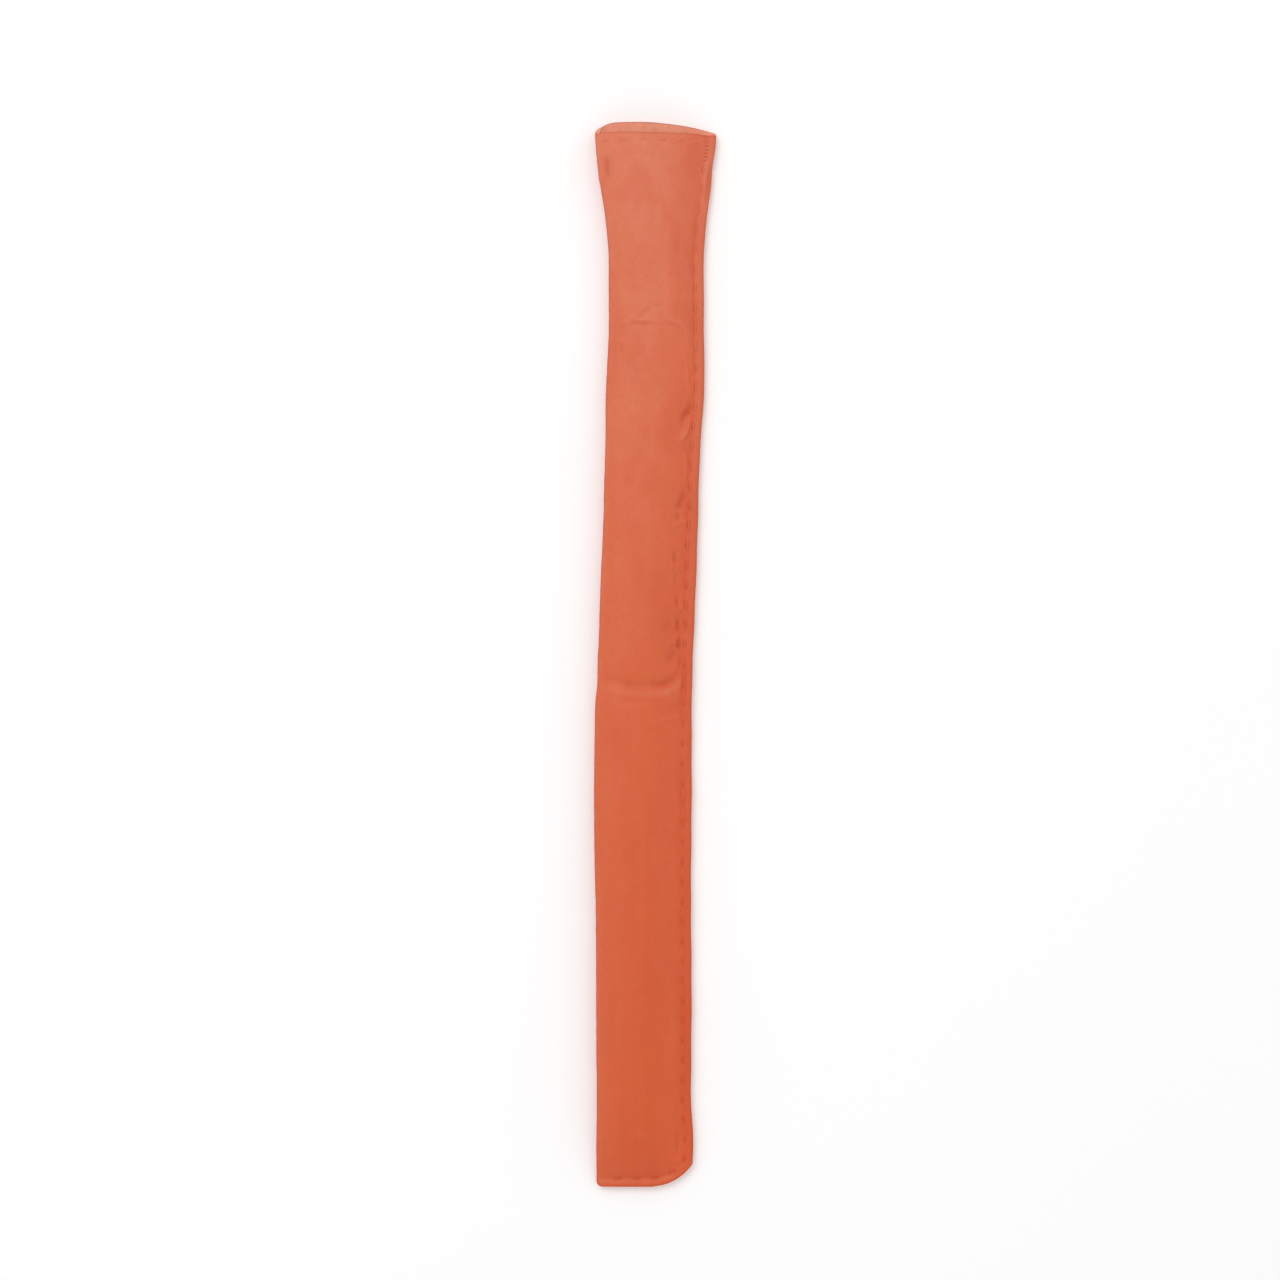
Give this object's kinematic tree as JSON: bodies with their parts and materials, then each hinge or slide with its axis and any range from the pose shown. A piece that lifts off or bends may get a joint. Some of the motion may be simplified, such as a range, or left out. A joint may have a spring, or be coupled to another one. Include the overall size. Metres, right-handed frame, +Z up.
{
  "type": "alignment rod cover",
  "caption": "Long flat sewn leather sleeve with a flared open mouth and a rounded toe corner, for covering golf alignment rods.",
  "frame": {"origin": "on the resting plane, under the centre of the sleeve's bounding box", "axes": "+Y along the sleeve towards its open mouth, +X across to the stitched side, +Z up out of the front wall"},
  "size_m": [0.0434, 0.38, 0.0149],
  "materials": {
    "shell_leather": "smooth orange leather, soft satin",
    "lining_cloth": "brushed orange cloth, matt",
    "facing_leather": "thin orange leather, lighter than the shell",
    "thread": "waxed thread in the colour of the leather"
  },
  "bodies": {
    "root": {"leather_wrap": "shell_leather", "lining": "lining_cloth", "mouth_facing": "facing_leather", "side_seam_thread": "thread", "toe_seam_thread": "thread", "mouth_hem_thread": "thread", "mouth_bar_tack": "thread"}
  },
  "joints": []
}
